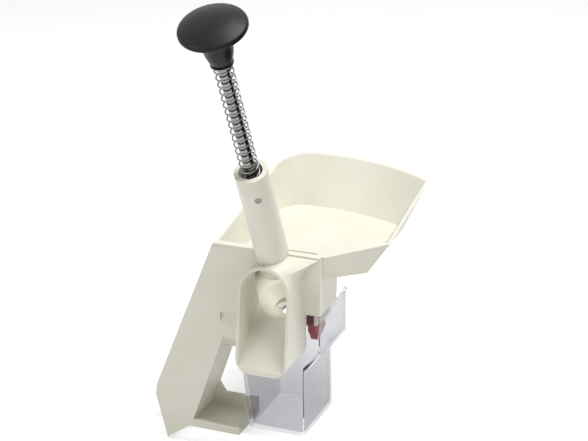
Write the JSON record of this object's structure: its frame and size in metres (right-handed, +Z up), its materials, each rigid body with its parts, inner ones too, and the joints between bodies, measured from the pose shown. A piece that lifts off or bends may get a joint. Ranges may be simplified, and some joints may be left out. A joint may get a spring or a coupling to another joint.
{
  "type": "cherry pitter",
  "caption": "Table cherry pitter: a spring-return plunger with a knob in a leaning guide tube, a feed tray, a discharge chute, a clear pit container and a splayed stand.",
  "frame": {"origin": "centre of the foot's resting face, at the height of the table top", "axes": "+Z up; +Y to the back, where the feed tray is; +X to the right of someone facing the chute; the plunger leans forward to -Y by 26 degrees"},
  "size_m": [0.1515, 0.2209, 0.3138],
  "materials": {
    "ivory_plastic": "moulded, softly glossy off-white",
    "clear_plastic": "clear moulded plastic with grey edges",
    "black_plastic": "fine satin",
    "white_plastic": "smooth",
    "red_plastic": "moulded, dark red",
    "silicone": "soft, translucent white",
    "bumper_rubber": "matt",
    "chromed_steel": "polished",
    "spring_steel": "drawn wire",
    "zinc_steel": "zinc plated",
    "brass": "turned"
  },
  "bodies": {
    "stand": {"front_stand": "ivory_plastic", "chute_housing": "ivory_plastic", "hopper_tray": "ivory_plastic", "guide_tube": "ivory_plastic", "upper_bush": "white_plastic", "lower_bush": "white_plastic", "bush_pin": "zinc_steel", "lower_spring_washer": "zinc_steel", "pit_die": "silicone", "die_holder": "red_plastic", "tray_screws": "zinc_steel", "stand_screws": "zinc_steel"},
    "spring_follower": {"upper_spring_washer": "zinc_steel", "return_spring": "spring_steel"},
    "plunger": {"plunger_rod": "chromed_steel", "pitting_tip": "chromed_steel", "rest_clip": "spring_steel", "bumper_ring": "bumper_rubber", "knob": "black_plastic", "knob_insert": "brass"},
    "container": {"pit_container": "clear_plastic"}
  },
  "joints": [
    {"name": "plunger_slide", "type": "slide", "parent": "stand", "child": "spring_follower", "axis": [0, 0.4384, -0.8988], "range_m": [0, 0.048], "stiffness_N_per_m": 250, "springref_m": -0.02, "deforming": ["return_spring"]},
    {"name": "plunger_spin", "type": "hinge", "parent": "spring_follower", "child": "plunger", "pos_m": [0.0423, 0.0027, 0.0926], "axis": [0, -0.4384, 0.8988], "continuous": true},
    {"name": "container_slide", "type": "slide", "parent": "stand", "child": "container", "axis": [0.1084, 0, -0.9941], "range_m": [0, 0.03]}
  ]
}
